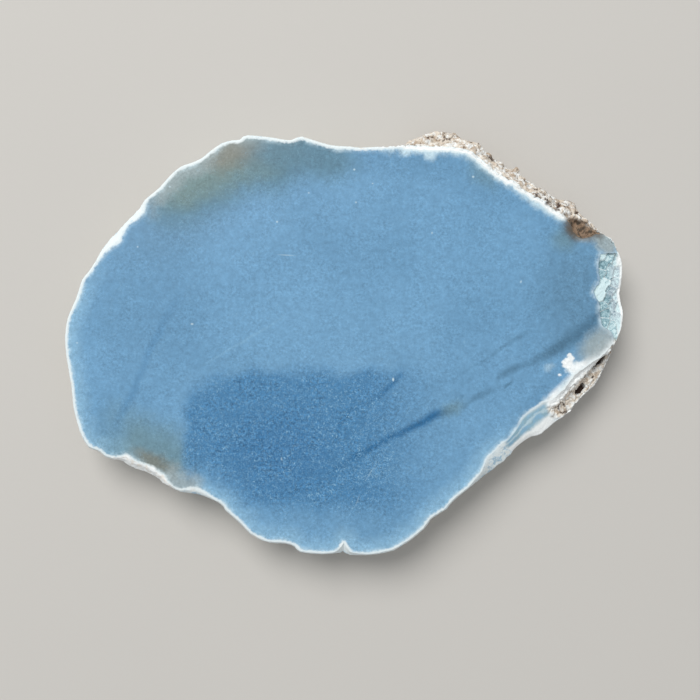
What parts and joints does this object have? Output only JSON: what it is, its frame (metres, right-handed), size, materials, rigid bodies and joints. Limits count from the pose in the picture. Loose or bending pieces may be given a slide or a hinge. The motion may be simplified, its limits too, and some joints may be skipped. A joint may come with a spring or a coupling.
{
  "type": "polished angelite slab",
  "caption": "Flat slab of pale blue angelite with a polished face, a natural sandy rind, a chipped edge and a sawn back it rests on.",
  "frame": {"origin": "middle of the slab's outer box, in the plane of the sawn back", "axes": "+X along the slab's length, towards its fractured end; +Y towards the side with the sandy rind; +Z out of the polished face"},
  "size_m": [0.101, 0.0774, 0.009],
  "materials": {
    "angelite": "polished"
  },
  "bodies": {
    "root": {"angelite_slab": "angelite"}
  },
  "joints": []
}
